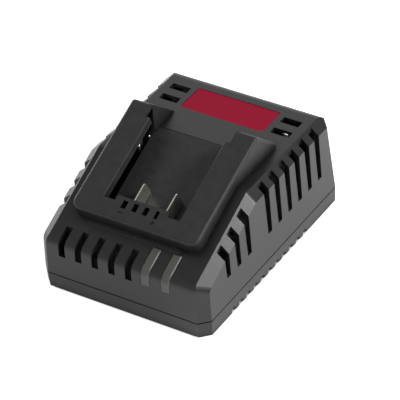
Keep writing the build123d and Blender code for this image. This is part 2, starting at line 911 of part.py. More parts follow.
side_vent_spread = body_height * tan(radians(side_vent_lean))
with BuildPart() as side_vents:
    with BuildSketch(Plane.YZ.offset(vent_inner_x)):
        for y in side_vent_ys:
            with Locations((y, underside_z + side_vent_bottom)):
                Polygon(
                    (0, 0),
                    (side_vent_width, 0),
                    (side_vent_width, body_height),
                    (-side_vent_spread, body_height),
                    align=None,
                )
    extrude(amount=far)
    mirror(about=Plane.YZ)

with BuildPart() as top_shell:
    add(outer)
    add(inner, mode=Mode.SUBTRACT)
    with Locations((0, 0, split_z)):
        Box(2 * body_width, 2 * body_depth, parting_gap, mode=Mode.SUBTRACT)
    add(
        rim(tongue_thickness, 2 * wall, split_z - parting_gap, parting_gap + tongue_rise),
        mode=Mode.SUBTRACT,
    )
    add(dock_hole.part, mode=Mode.SUBTRACT)
    add(pocket_mouth.part, mode=Mode.SUBTRACT)
    add(pocket_floor.part)
    add(pocket_wall.part)
    add(pocket_mouth.part, mode=Mode.SUBTRACT)
    for place in lug_planes:
        with Locations(place.offset(-lug_thickness - wall / 2)):
            Cylinder(small_boss_radius, lug_boss + wall / 2, align=high)
    bead_y = front_y + pocket_edge + pocket_bead_radius
    bead_z = top_z + pocket_bead_height - pocket_bead_radius
    with Locations(Location((0, bead_y, bead_z), (0, 90, 0))):
        Cylinder(pocket_bead_radius, 2 * opening_half)
    add(boss_posts.part)
    add(ribs.part)
    for x, y in case_screw_places:
        with Locations((x, y, case_boss_top)):
            Cylinder(
                case_screw_radius + thread_clearance,
                case_screw_length - case_seat_depth + tip_clearance,
                align=low,
                mode=Mode.SUBTRACT,
            )
    add(side_vents.part, mode=Mode.SUBTRACT)
    for x in front_vent_xs:
        with Locations((x, front_y + front_vent_run - far / 2, underside_z + front_vent_bottom)):
            Box(front_vent_width, far, far, align=low, mode=Mode.SUBTRACT)
    for x in pipe_xs:
        with Locations((x, front_y + pipe_run - far / 2, underside_z + front_vent_bottom)):
            Box(pipe_width, far, far, align=low, mode=Mode.SUBTRACT)
    for x in back_vent_xs:
        with Locations((x, -front_y - back_vent_inset + far / 2, underside_z + back_vent_bottom)):
            Box(back_vent_width, far, far, align=low, mode=Mode.SUBTRACT)
    for side in (-1, 1):
        for y in top_vent_rows:
            with Locations((side * top_vent_offset, front_y + y, top_z)):
                Box(top_vent_length, top_vent_width, 3 * wall, mode=Mode.SUBTRACT)
    add(label_form(0, wall), mode=Mode.SUBTRACT)
    for place in front_post_planes + rear_post_planes:
        with Locations(place):
            Cylinder(
                small_screw_radius + hole_clearance, 2 * wall, align=low, mode=Mode.SUBTRACT
            )
    for place in lug_planes:
        with Locations(place.offset(-lug_thickness)):
            Cylinder(
                small_screw_radius + thread_clearance, wall + lug_boss, align=high, mode=Mode.SUBTRACT
            )
    for x, thickness, foot_width in tail_slots:
        add(
            deck_box(
                (x - thickness / 2 - hole_clearance, x + thickness / 2 + hole_clearance),
                (blade_root - hole_clearance, blade_root + foot_width + hole_clearance),
                (pocket_depth - wall, pocket_depth + 2 * wall),
            ),
            mode=Mode.SUBTRACT,
        )
    with Locations((inlet_x, body_depth / 2, split_z)):
        Box(
            inlet_width + 2 * inlet_clearance,
            6 * wall,
            inlet_top_z - split_z + inlet_clearance,
            align=low,
            mode=Mode.SUBTRACT,
        )
keep("top_shell", top_shell.part)

# ---- labels ----------------------------------------------------------------------------------
keep("label_plate", label_form(fit_clearance, label_thickness))

# ---- light pipes and LEDs --------------------------------------------------------------------
proud_form = case_form(-pipe_proud, split_z)
proud_skin = proud_form.shell()
flange_form = case_form(wall + fit_clearance, split_z)
flange_inner = case_form(wall + fit_clearance + pipe_flange, split_z)
led_top_z = board_top_z + led_stand + led_body + led_radius

for name, x in zip(("light_pipe_left", "light_pipe_right"), pipe_xs):
    with BuildPart() as flange:
        block_between(
            (x - pipe_width / 2 - pipe_flange_overlap, x + pipe_width / 2 + pipe_flange_overlap),
            (-far, front_y + pipe_run + pipe_flange_overlap),
            (underside_z + front_vent_bottom - pipe_flange_overlap, far),
        )
        add(flange_form, mode=Mode.INTERSECT)
        add(flange_inner, mode=Mode.SUBTRACT)
    with BuildPart() as stem:
        block_between(
            (x - stem_half, x + stem_half),
            (led_y - stem_length / 2, led_y + stem_length / 2),
            (led_top_z + led_gap, far),
        )
        add(flange_form, mode=Mode.INTERSECT)
    with BuildPart() as pipe:
        block_between(
            (x - pipe_width / 2 + fit_clearance, x + pipe_width / 2 - fit_clearance),
            (-far, front_y + pipe_run - fit_clearance),
            (underside_z + front_vent_bottom + fit_clearance, far),
        )
        add(proud_form, mode=Mode.INTERSECT)
        seen = pipe.edges().filter_by(lambda edge: proud_skin.distance_to(edge @ 0.5) < touching)
        across = seen.filter_by(Axis.X).sort_by(Axis.Z)
        chamfer([edge for edge in seen if edge not in across[1:-1]], pipe_bevel)
        add(flange_inner, mode=Mode.SUBTRACT)
        add(flange.part)
        add(stem.part)
    keep(name, pipe.part)

for name, x in zip(("led_green", "led_red"), pipe_xs):
    base_z = board_top_z + led_stand
    with BuildPart() as led:
        with Locations((x, led_y, base_z)):
            Cylinder(led_radius, led_body, align=low)
            Cylinder(led_radius + led_flange, 2 * led_flange, align=low)
        with Locations((x, led_y, base_z + led_body)):
            Sphere(led_radius)
        places = [(x - lead_pitch / 2, led_y), (x + lead_pitch / 2, led_y)]
        add(leads(places, thin_lead_radius, base_z + lead_root))
    keep(name, led.part)

# ---- dock ------------------------------------------------------------------------------------
wedge = case_wedge()
dock_outer = dock_form(0)
with BuildPart() as rail_walls:
    for side in (-1, 1):
        inner_x, outer_x = sorted((side * groove_half, side * (groove_half + wall)))
        block_between((inner_x, outer_x), (front_y + rail_wall_start, far), (0, far))
    add(dock_outer, mode=Mode.INTERSECT)
with BuildPart() as lips:
    for side in (-1, 1):
        inner_x, outer_x = sorted((side * opening_half, side * groove_half))
        add(deck_box((inner_x, outer_x), (wall, far), (0, lip_thickness)))
    add(dock_outer, mode=Mode.INTERSECT)
with BuildPart() as posts:
    for place in front_post_planes + rear_post_planes:
        with Locations(place):
            Cylinder(small_boss_radius, far / 4, align=high)
    add(dock_outer, mode=Mode.INTERSECT)

with BuildPart() as battery_dock:
    add(dock_outer)
    up_from_deck = Axis(deck.origin, deck.z_dir)
    deck_rim = battery_dock.faces().sort_by(up_from_deck)[-1].edges().sort_by(Axis.Y)
    fillet(deck_rim[:-1], dock_edge_radius)
    up_from_tail = Axis(deck.origin, (0, sin(radians(tail_angle)), cos(radians(tail_angle))))
    tail_rim = battery_dock.faces().sort_by(up_from_tail)[-1].edges().sort_by(Axis.Z)
    fillet(tail_rim[1:], dock_ridge_radius)
    add(dock_form(wall), mode=Mode.SUBTRACT)
    add(rail_walls.part)
    add(lips.part)
    add(posts.part)
    add(deck_box((-opening_half, opening_half), (front_bar, far), (-far, far)), mode=Mode.SUBTRACT)
    add(deck_box((-groove_half, groove_half), (entry_start, far), (-far, far)), mode=Mode.SUBTRACT)
    lip_edges = [
        edge
        for edge in battery_dock.edges().filter_by(Axis(deck.origin, deck.y_dir))
        if abs(abs(edge.center().X) - opening_half) < touching
        and abs(deck.to_local_coords(edge.center()).Z) < touching
    ]
    fillet(lip_edges, lip_edge_radius)
    add(deck_box((-nose_half, nose_half), (front_bar - wall, bar_end), (0, wall)))
    for x, width in zip(contact_xs, window_widths):
        add(
            deck_box(
                (x - width / 2, x + width / 2),
                (window_start, window_start + window_length),
                (-wall, 2 * wall),
            ),
            mode=Mode.SUBTRACT,
        )
    for x in (contact_xs[0], contact_xs[-1]):
        add(
            deck_box(
                (x - mark_size / 2, x + mark_size / 2),
                (mark_along - mark_line / 2, mark_along + mark_line / 2),
                (-wall, mark_depth),
            ),
            mode=Mode.SUBTRACT,
        )
    plus_x = contact_xs[-1]
    add(
        deck_box(
            (plus_x - mark_line / 2, plus_x + mark_line / 2),
            (mark_along - mark_size / 2, mark_along + mark_size / 2),
            (-wall, mark_depth),
        ),
        mode=Mode.SUBTRACT,
    )
    add(wedge, mode=Mode.SUBTRACT)
    for place in front_post_planes + rear_post_planes:
        with Locations(place):
            Cylinder(
                small_screw_radius + thread_clearance,
                small_screw_length - wall + tip_clearance,
                align=high,
                mode=Mode.SUBTRACT,
            )
keep("battery_dock", battery_dock.part)

# ---- terminals -------------------------------------------------------------------------------
blade_bottom = pocket_depth - blade_foot
signal_bottom = pocket_depth - signal_foot
with BuildPart() as terminal_block:
    add(
        deck_box(
            (-block_half, block_half), (block_front, block_back), (wall + block_gap, pocket_depth)
        )
    )
    for place in lug_planes:
        with Locations(place):
            Cylinder(lug_radius, lug_thickness, align=high)
    add(
        deck_box(
            (-lug_offset, lug_offset),
            (lug_along - lug_radius / 2, lug_along + lug_radius / 2),
            (pocket_depth - lug_thickness, pocket_depth),
        )
    )
    for place in lug_planes:
        with Locations(place):
            Cylinder(
                small_screw_radius + hole_clearance,
                3 * lug_thickness,
                mode=Mode.SUBTRACT,
            )
    for x, width in zip(contact_xs, window_widths):
        add(
            deck_box(
                (x - width / 2, x + width / 2),
                (window_start, window_start + window_length),
                (0, blade_top),
            ),
            mode=Mode.SUBTRACT,
        )
    for x, thickness, foot_width, top, bottom in (
        (contact_xs[0], blade_thickness, tail_width, blade_top, blade_bottom),
        (contact_xs[1], signal_thickness, signal_tail, signal_top, signal_bottom),
        (contact_xs[2], signal_thickness, signal_tail, signal_top, signal_bottom),
        (contact_xs[3], blade_thickness, tail_width, blade_top, blade_bottom),
    ):
        half = thickness / 2 + slot_clearance
        add(
            deck_box((x - half, x + half), (blade_root - slot_clearance, far), (blade_top, bottom)),
            mode=Mode.SUBTRACT,
        )
        add(
            deck_box(
                (x - half, x + half),
                (blade_root - slot_clearance, blade_root + foot_width + slot_clearance),
                (top, far),
            ),
            mode=Mode.SUBTRACT,
        )
keep("terminal_block", terminal_block.part)

for name, x in (("power_blade_negative", contact_xs[0]), ("power_blade_positive", contact_xs[3])):
    keep(
        name,
        contact(x, blade_thickness, blade_top, blade_bottom, blade_end, tail_width, blade_corner),
    )
signals = [
    contact(x, signal_thickness, signal_top, signal_bottom, signal_end, signal_tail, blade_corner)
    for x in contact_xs[1:3]
]
keep("signal_contacts", gather(signals))

for name, x in (("output_lead_negative", contact_xs[0]), ("output_lead_positive", contact_xs[3])):
    keep(name, lead_to_board(x, blade_thickness, tail_width, power_lead_radius, power_lead_row))
signal_wires = [
    lead_to_board(x, signal_thickness, signal_tail, signal_lead_radius, signal_lead_row)
    for x in contact_xs[1:3]
]
keep("signal_leads", gather(signal_wires))

# ---- fasteners -------------------------------------------------------------------------------
dock_screw_planes = [place.offset(wall) for place in front_post_planes + rear_post_planes]
for name, places, radius, length in (
    (
        "case_screws",
        [Plane(origin=(x, y, case_seat_z), z_dir=(0, 0, -1)) for x, y in case_screw_places],
        case_screw_radius,
        case_screw_length,
    ),
    ("dock_screws", dock_screw_planes, small_screw_radius, small_screw_length),
    (
        "board_screws",
        [Plane(origin=(x, y, board_top_z)) for x, y in board_hole_places],
        small_screw_radius,
        small_screw_length,
    ),
    ("block_screws", lug_planes, small_screw_radius, small_screw_length),
):
    keep(name, gather([screw(place, radius, length) for place in places]))

# ---- mains inlet -----------------------------------------------------------------------------
inlet_face_y = body_depth / 2 - rear_lean * (inlet_top_z - split_z) - inlet_sink
inlet_middle_z = board_top_z + inlet_height / 2
inlet_back_y = inlet_face_y - inlet_depth
flange_top_z = inlet_top_z + inlet_flange
back_inside_y = body_depth / 2 - rear_lean * (flange_top_z - split_z) - wall / cos(radians(rear_draft))
flange_face_y = back_inside_y - fit_clearance
inlet_face = Plane(origin=(inlet_x, inlet_face_y, inlet_middle_z), x_dir=(1, 0, 0), z_dir=(0, -1, 0))
pin_xs = [inlet_x - inlet_pin_spacing / 2, inlet_x + inlet_pin_spacing / 2]

with BuildPart() as mains_inlet:
    block_between(
        (inlet_x - inlet_width / 2, inlet_x + inlet_width / 2),
        (inlet_back_y, inlet_face_y),
        (board_top_z, inlet_top_z),
    )
    block_between(
        (inlet_x - inlet_width / 2, inlet_x + inlet_width / 2),
        (flange_face_y, inlet_face_y),
        (split_z + parting_gap / 2, board_top_z + wall),
    )
    block_between(
        (inlet_x - inlet_width / 2 - inlet_flange, inlet_x + inlet_width / 2 + inlet_flange),
        (flange_face_y - inlet_flange, flange_face_y),
        (split_z + parting_gap / 2, flange_top_z),
    )
    with BuildSketch(inlet_face):
        with Locations((-inlet_pin_spacing / 2, 0), (inlet_pin_spacing / 2, 0)):
            Circle(inlet_lobe)
        Rectangle(inlet_pin_spacing, inlet_waist)
    extrude(amount=inlet_cavity, mode=Mode.SUBTRACT)
    with BuildSketch(inlet_face):
        with Locations((-inlet_pin_spacing / 2, 0), (inlet_pin_spacing / 2, 0)):
            Circle(inlet_pin_radius + slot_clearance)
    extrude(amount=far, mode=Mode.SUBTRACT)
keep("mains_inlet", mains_inlet.part)

inlet_pins = []
for x in pin_xs:
    tail_y = inlet_back_y - 2 * inlet_tail_radius
    tip_y = inlet_face_y - inlet_cavity + inlet_pin_length
    with BuildPart() as pin:
        with Locations(Location((x, tip_y, inlet_middle_z), (90, 0, 0))):
            Cylinder(
                inlet_pin_radius, tip_y - tail_y + 2 * inlet_tail_radius, align=low
            )
        fillet(pin.edges().group_by(Axis.Y)[-1], inlet_pin_radius / 2)
        add(leads([(x, tail_y)], inlet_tail_radius, inlet_middle_z))
    inlet_pins.append(pin.part)
keep("inlet_pins", gather(inlet_pins))

# ---- board parts -----------------------------------------------------------------------------
tx, ty = transformer_place[0], front_y + transformer_place[1]
core_z = board_top_z + bobbin_height / 2
core_half = core_leg / 2 + core_window + core_side
tube_x = core_leg / 2 + bobbin_gap + bobbin_wall
tube_z = core_thickness / 2 + bobbin_gap + bobbin_wall
flange_half = core_leg / 2 + core_window - 2 * bobbin_gap

with BuildPart() as transformer_core:
    with Locations((tx, ty, core_z)):
        Box(2 * core_half, core_length + 2 * core_side, core_thickness)
    for side in (-1, 1):
        with Locations((tx + side * (core_leg + core_window) / 2, ty, core_z)):
            Box(core_window, core_length, 2 * core_thickness, mode=Mode.SUBTRACT)
    fillet(transformer_core.edges().filter_by(Axis.Z).group_by(Axis.X)[0], core_corner)
    fillet(transformer_core.edges().filter_by(Axis.Z).group_by(Axis.X)[-1], core_corner)
keep("transformer_core", transformer_core.part)

with BuildPart() as transformer_bobbin:
    with Locations((tx, ty, core_z)):
        Box(2 * tube_x, core_length - 2 * bobbin_gap, 2 * tube_z)
    for end in (-1, 1):
        flange_y = ty + end * (core_length / 2 - bobbin_gap - bobbin_flange / 2)
        with Locations((tx, flange_y, board_top_z)):
            Box(2 * flange_half, bobbin_flange, bobbin_height, align=low)
        foot_y = ty + end * (core_length / 2 - bobbin_gap + core_side / 2)
        with Locations((tx, foot_y, board_top_z)):
            Box(2 * flange_half, core_side, bobbin_foot - bobbin_gap, align=low)
        row = [(tx + bobbin_pin_pitch * (n - 1.5), foot_y) for n in range(4)]
        add(leads(row, lead_radius, board_top_z + lead_root))
    with Locations((tx, ty, core_z)):
        Box(
            core_leg + 2 * bobbin_gap,
            2 * core_length,
            core_thickness + 2 * bobbin_gap,
            mode=Mode.SUBTRACT,
        )
keep("transformer_bobbin", transformer_bobbin.part)

with BuildPart() as transformer_windings:
    with BuildSketch(Plane(origin=(tx, ty, core_z), x_dir=(1, 0, 0), z_dir=(0, -1, 0))):
        RectangleRounded(
            2 * (tube_x + winding_build), 2 * (tube_z + winding_build), winding_build / 2
        )
        Rectangle(2 * (tube_x + winding_gap), 2 * (tube_z + winding_gap), mode=Mode.SUBTRACT)
    extrude(amount=core_length / 2 - 2 * bobbin_gap - bobbin_flange, both=True)
keep("transformer_windings", transformer_windings.part)

cx, cy = choke_place[0], front_y + choke_place[1]
choke_z = board_top_z + choke_build + choke_thickness / 2
with BuildPart() as choke_core:
    with Locations((cx, cy, choke_z)):
        Cylinder(choke_outer, choke_thickness)
        Cylinder(choke_inner, choke_thickness, mode=Mode.SUBTRACT)
    fillet(choke_core.edges(), choke_edge)
keep("choke_core", choke_core.part)

halves = []
for turn in (0, 180):
    with BuildPart() as half_winding:
        with BuildSketch(Plane(origin=(cx, cy, choke_z), x_dir=(1, 0, 0), z_dir=(0, -1, 0))):
            with Locations(((choke_inner + choke_outer) / 2, 0)):
                RectangleRounded(
                    choke_outer - choke_inner + 2 * choke_build,
                    choke_thickness + 2 * choke_build,
                    choke_build,
                )
                Rectangle(
                    choke_outer - choke_inner + 2 * winding_gap,
                    choke_thickness + 2 * winding_gap,
                    mode=Mode.SUBTRACT,
                )
        revolve(axis=Axis((cx, cy, 0), (0, 0, 1)), revolution_arc=choke_arc)
    start = (180 - choke_arc) / 2 + turn
    about = Axis((cx, cy, 0), (0, 0, 1))
    halves.append(half_winding.part.rotate(about, start))
keep("choke_windings", gather(halves))

keep("bulk_capacitor", can(bulk_place, bulk_radius, bulk_height, bulk_pitch))
output_cans = [can(place, output_radius, output_height, output_pitch) for place in output_places]
keep("output_capacitors", gather(output_cans))
film_pins = [(-film_pitch / 2, 0), (film_pitch / 2, 0)]
keep("x_capacitor", boxed(film_place, film_size, 0, film_corner, film_pins, lead_radius))
fuse_pins = [(-fuse_pitch / 2, 0), (fuse_pitch / 2, 0)]
keep("fuse", boxed(fuse_place, fuse_size, 0, moulded_corner, fuse_pins, thin_lead_radius))
bridge_pins = [(bridge_pitch * (n - 1.5), 0) for n in range(4)]
keep(
    "bridge_rectifier",
    boxed(bridge_place, bridge_size, bridge_stand, moulded_corner, bridge_pins, lead_radius),
)
keep("thermistor", disc(thermistor_place, thermistor_radius, thermistor_thickness, disc_pitch))
keep("y_capacitor", disc(safety_place, safety_radius, safety_thickness, disc_pitch))
couplers = [chip(place, coupler_size, 2, chip_row) for place in coupler_places]
keep("optocouplers", gather(couplers))
keep("controller_chip", chip(controller_place, controller_size, 4, chip_row))
keep("microcontroller", chip(micro_place, micro_size, 6, micro_row))

tab_hole_z = board_top_z + package_stand + package_height - package_hole
keep("primary_heatsink", heatsink(primary_sink_place, primary_sink_size, [tab_hole_z]))
keep("secondary_heatsink", heatsink(secondary_sink_place, secondary_sink_size, [tab_hole_z]))
keep("primary_transistor", power_package(primary_sink_place, primary_sink_size))
keep("output_diode", power_package(secondary_sink_place, secondary_sink_size))
sink_screws = []
for place, size in (
    (primary_sink_place, primary_sink_size),
    (secondary_sink_place, secondary_sink_size),
):
    seat_y = front_y + place[1] - size[1] / 2 - package_tab
    seat = Plane(origin=(place[0], seat_y, tab_hole_z), z_dir=(0, -1, 0))
    sink_screws.append(screw(seat, small_screw_radius, small_screw_length))
keep("heatsink_screws", gather(sink_screws))

with BuildPart() as main_board:
    with BuildSketch(Plane.XY.offset(board_z)):
        with Locations((0, (board_front_gap - board_back_gap) / 2)):
            RectangleRounded(
                body_width - 2 * board_side_gap,
                body_depth - board_front_gap - board_back_gap,
                board_corner,
            )
        for x, y in case_screw_places:
            with Locations((x, y)):
                Circle(case_boss_radius + board_boss_gap, mode=Mode.SUBTRACT)
        for x, y in board_hole_places:
            with Locations((x, y)):
                Circle(small_screw_radius + hole_clearance, mode=Mode.SUBTRACT)
        for x, y, radius in lead_places:
            with Locations((x, y)):
                Circle(radius + lead_clearance, mode=Mode.SUBTRACT)
    extrude(amount=board_thickness)
keep("main_board", main_board.part)

for name, piece in made.items():
    print(name, len(piece.solids()), round(piece.volume), piece.is_valid)
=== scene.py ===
"""Looks of a power tool battery charger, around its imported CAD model."""

import math

import bpy
from mathutils import Matrix, Vector

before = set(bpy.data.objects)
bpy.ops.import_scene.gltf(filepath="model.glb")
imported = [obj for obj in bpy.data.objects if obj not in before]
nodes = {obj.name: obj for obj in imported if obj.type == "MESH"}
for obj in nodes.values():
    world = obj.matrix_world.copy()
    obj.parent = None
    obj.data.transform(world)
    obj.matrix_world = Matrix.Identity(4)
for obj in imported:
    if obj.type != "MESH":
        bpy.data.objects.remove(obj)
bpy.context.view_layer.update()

MM = 0.001
WHITE = (1.0, 1.0, 1.0, 1.0)


def add_object(name, data):
    """Object with that data, linked into the scene."""
    made = bpy.data.objects.new(name, data)
    bpy.context.scene.collection.objects.link(made)
    return made


def looking(target, azimuth, elevation, distance):
    """Placement that faces the target, seen from it at that azimuth and elevation."""
    a, e = math.radians(azimuth), math.radians(elevation)
    away = Vector((math.sin(a) * math.cos(e), -math.cos(a) * math.cos(e), math.sin(e)))
    facing = (-away).to_track_quat("-Z", "Y").to_matrix().to_4x4()
    return Matrix.Translation(target + away * distance) @ facing


# ---- camera ----------------------------------------------------------------------------------
CAMERA_TARGET = Vector((0.00666, -0.00002, 0.03054))
CAMERA_DISTANCE = 1.5315
CAMERA_AZIMUTH = 34.59  # degrees, like the elevation and the roll
CAMERA_ELEVATION = 37.31
CAMERA_ROLL = -4.55
CAMERA_SENSOR = 36.0  # millimetres, like the lens
CAMERA_LENS = 244.6
CAMERA_NEAREST = 0.05
CAMERA_FARTHEST = 50.0


def add_camera():
    """Camera at the viewing angle, with the small roll that the picture has."""
    data = bpy.data.cameras.new("camera")
    data.lens = CAMERA_LENS
    data.sensor_width = CAMERA_SENSOR
    data.clip_start = CAMERA_NEAREST
    data.clip_end = CAMERA_FARTHEST
    camera = add_object("camera", data)
    place = looking(CAMERA_TARGET, CAMERA_AZIMUTH, CAMERA_ELEVATION, CAMERA_DISTANCE)
    camera.matrix_world = place @ Matrix.Rotation(math.radians(CAMERA_ROLL), 4, "Z")
    bpy.context.scene.camera = camera


# ---- lamps -----------------------------------------------------------------------------------
LAMP_TARGET = Vector((0.0, 0.0, 0.0))
LAMP_DISTANCE = 1.6


def add_lamp(name, azimuth, elevation, size, power):
    """Soft rectangular lamp that faces the object. size is its width and height in metres."""
    data = bpy.data.lights.new(name, "AREA")
    data.shape = "RECTANGLE"
    data.size, data.size_y = size
    data.energy = power
    lamp = add_object(name, data)
    lamp.matrix_world = looking(LAMP_TARGET, azimuth, elevation, LAMP_DISTANCE)


# ---- node trees ------------------------------------------------------------------------------
class Graph:
    """Short names for making and joining the nodes of one node tree."""

    def __init__(self, tree):
        self.tree = tree
        self.tree.nodes.clear()

    def node(self, kind, **settings):
        made = self.tree.nodes.new(kind)
        for key, value in settings.items():
            setattr(made, key, value)
        return made

    def join(self, source, target):
        self.tree.links.new(source, target)

    def feed(self, value, socket):
        """Give the socket a plain number, or join it to the output that makes its value."""
        if isinstance(value, (int, float)):
            socket.default_value = value
        else:
            self.join(value, socket)

    def math(self, operation, *values):
        made = self.node("ShaderNodeMath", operation=operation)
        for value, socket in zip(values, made.inputs):
            self.feed(value, socket)
        return made.outputs[0]

    def map(self, value, low, high, to_low, to_high):
        """Straight map of low..high to to_low..to_high, held at its ends."""
        made = self.node("ShaderNodeMapRange")
        self.join(value, made.inputs["Value"])
        made.inputs["From Min"].default_value = low
        made.inputs["From Max"].default_value = high
        made.inputs["To Min"].default_value = to_low
        made.inputs["To Max"].default_value = to_high
        return made.outputs["Result"]

    def split(self, vector):
        """The vector's X, Y and Z."""
        made = self.node("ShaderNodeSeparateXYZ")
        self.join(vector, made.inputs[0])
        return made.outputs

    def coordinates(self, kind):
        return self.node("ShaderNodeTexCoord").outputs[kind]

    def rays(self):
        """1 for rays from the camera, and 1 for rays off a gloss or through glass."""
        path = self.node("ShaderNodeLightPath").outputs
        mirrored = self.math("MAXIMUM", path["Is Glossy Ray"], path["Is Transmission Ray"])
        return path["Is Camera Ray"], mirrored

    def glow(self, kind, strength):
        """White light of that kind of node."""
        made = self.node(kind)
        made.inputs["Color"].default_value = WHITE
        self.feed(strength, made.inputs["Strength"])
        return made.outputs[0]

    def mix(self, share, first, second):
        """The first shader, and the second one where the share is 1."""
        made = self.node("ShaderNodeMixShader")
        for source, socket in zip((share, first, second), made.inputs):
            self.join(source, socket)
        return made.outputs[0]

    def noise(self, place, size, detail):
        """Noise with features of about that size in millimetres."""
        made = self.node("ShaderNodeTexNoise")
        self.join(place, made.inputs["Vector"])
        made.inputs["Scale"].default_value = 1.0 / (size * MM)
        made.inputs["Detail"].default_value = detail
        return made.outputs["Fac"]

    def times(self, colour, factor):
        """The colour, multiplied by a factor that may be over 1."""
        made = self.node("ShaderNodeMix", data_type="RGBA", blend_type="MULTIPLY")
        made.inputs["Factor"].default_value = 1.0
        self.join(colour, made.inputs["A"])
        self.join(factor, made.inputs["B"])
        return made.outputs["Result"]


# ---- backdrop --------------------------------------------------------------------------------
WORLD_FILL = 0.42  # even light from all round
SKY_LOW = 0.62  # z of the direction: the mirrored room fades overhead
SKY_HIGH = 0.88
SKY_TOP = 0.32
FRONT_FROM = 0.25  # y of the direction: the mirrored room in front of the table is dim
FRONT_TO = -0.20
FRONT_DARK = 0.60
SIDE_FROM = 0.05  # x of the direction: the mirrored room on the right is dim too
SIDE_TO = 0.45
SIDE_DARK = 0.22


def add_world():
    """White backdrop for the camera, even fill light, and a room of its own in reflections."""
    world = bpy.data.worlds.new("studio")
    bpy.context.scene.world = world
    world.use_nodes = True
    g = Graph(world.node_tree)
    direction = g.split(g.coordinates("Generated"))
    height = g.map(direction["Z"], SKY_LOW, SKY_HIGH, 1.0, SKY_TOP)
    front = g.map(direction["Y"], FRONT_TO, FRONT_FROM, FRONT_DARK, 1.0)
    side = g.map(direction["X"], SIDE_FROM, SIDE_TO, 1.0, SIDE_DARK)
    room = g.math("MINIMUM", height, g.math("MULTIPLY", front, side))
    from_camera, mirrored = g.rays()
    fill = g.glow("ShaderNodeBackground", WORLD_FILL)
    reflected = g.glow("ShaderNodeBackground", room)
    seen = g.glow("ShaderNodeBackground", 1.0)
    backdrop = g.mix(from_camera, g.mix(mirrored, fill, reflected), seen)
    g.join(backdrop, g.node("ShaderNodeOutputWorld").inputs["Surface"])


FLOOR_SIZE = 8.0
FLOOR_GREY = (0.8, 0.8, 0.8, 1.0)
FLOOR_SEEN = 0.82  # glow that the camera sees, on top of the lit floor
# Painted light and shade in reflections: the floor's glow is dimmer beside the object, a
# painted shade, and brighter right of the middle, a painted pool of light.
FLOOR_NEAR = 0.50  # glow that reflections see beside the object
FLOOR_FAR = 1.0
FLOOR_NEAR_END = 0.08  # metres from the middle where the near glow ends
FLOOR_FAR_START = 0.35
FLOOR_LEFT = 0.90  # factor on the reflections' glow, left of the middle
FLOOR_RIGHT = 1.50
FLOOR_RIGHT_START = 0.06  # x where the right factor is reached
# Painted shade: the floor's glow is cut off under the case.
FOOTPRINT_X = 0.0540  # half width of the ground that the case covers
FOOTPRINT_Y = 0.0726
FOOTPRINT_CORNER = 0.0075  # cut off each corner, along both sides
FOOTPRINT_EDGE = 0.0004  # half width of its soft edge


def outside_footprint(g, place):
    """1 on the open floor and 0 under the case, so that no glow shows through its notches: a
    painted shade under the case.
    """
    across_x = g.math("ABSOLUTE", place["X"])
    across_y = g.math("ABSOLUTE", place["Y"])
    corner_reach = FOOTPRINT_X + FOOTPRINT_Y - FOOTPRINT_CORNER
    outside = 0.0
    for distance, reach in (
        (across_x, FOOTPRINT_X),
        (across_y, FOOTPRINT_Y),
        (g.math("ADD", across_x, across_y), corner_reach),
    ):
        beyond = g.map(distance, reach - FOOTPRINT_EDGE, reach + FOOTPRINT_EDGE, 0.0, 1.0)
        outside = g.math("MAXIMUM", beyond, outside)
    return outside


def add_floor():
    """Floor that reads white and keeps the object's shadow. Its glow is cut off under the case,
    a painted shade there, and the glow that reflections see is painted shade beside the object
    and painted light right of the middle.
    """
    mesh = bpy.data.meshes.new("floor")
    h = FLOOR_SIZE / 2
    mesh.from_pydata([(-h, -h, 0), (h, -h, 0), (h, h, 0), (-h, h, 0)], [], [(0, 1, 2, 3)])
    floor = add_object("floor", mesh)
    material = bpy.data.materials.new("floor")
    material.use_nodes = True
    g = Graph(material.node_tree)
    place = g.coordinates("Object")
    x_y_z = g.split(place)
    from_middle = g.node("ShaderNodeVectorMath", operation="LENGTH")
    g.join(place, from_middle.inputs[0])
    # Painted shade near the object and painted light on the right, in what reflections see.
    far = g.map(from_middle.outputs["Value"], FLOOR_NEAR_END, FLOOR_FAR_START,
                FLOOR_NEAR, FLOOR_FAR)
    across = g.map(x_y_z["X"], 0.0, FLOOR_RIGHT_START, FLOOR_LEFT, FLOOR_RIGHT)
    from_camera, mirrored = g.rays()
    seen = g.math("MULTIPLY", from_camera, FLOOR_SEEN)
    reflected = g.math("MINIMUM", g.math("MULTIPLY", far, across), 1.0)
    strength = g.math("ADD", seen, g.math("MULTIPLY", mirrored, reflected))
    strength = g.math("MULTIPLY", strength, outside_footprint(g, x_y_z))
    lit = g.node("ShaderNodeBsdfDiffuse")
    lit.inputs["Color"].default_value = FLOOR_GREY
    both = g.node("ShaderNodeAddShader")
    g.join(lit.outputs[0], both.inputs[0])
    g.join(g.glow("ShaderNodeEmission", strength), both.inputs[1])
    g.join(both.outputs[0], g.node("ShaderNodeOutputMaterial").inputs["Surface"])
    mesh.materials.append(material)


# ---- materials -------------------------------------------------------------------------------
POCKET_HALF_WIDTH = 0.0300  # the top shell's floor between the rails
POCKET_FRONT = -0.0580
POCKET_BACK = 0.0146
POCKET_LOWEST = 0.0350
POCKET_LIGHTER = 2.8  # times the case's colour
POCKET_GLOSS = -0.10  # on top of the case's roughness

PATCH_DETAIL = 4.0
GRAIN_DETAIL = 2.0
NOISE_LOW = 0.3  # most of a noise lies from here
NOISE_HIGH = 0.7  # to here
WEAR = 0.08  # share by which the roughness varies
# Painted shade: an ambient-occlusion map darkens the colour and shine of slots and hollows.
PAINTED_SHADE_SAMPLES = 4
PAINTED_SHADE_CLOSED = 0.30  # open share of the deepest slots
PAINTED_SHADE_OPEN = 0.97  # and of free faces
PAINTED_SHADE_SHINE = 0.4  # share of the shine that the deepest slots keep


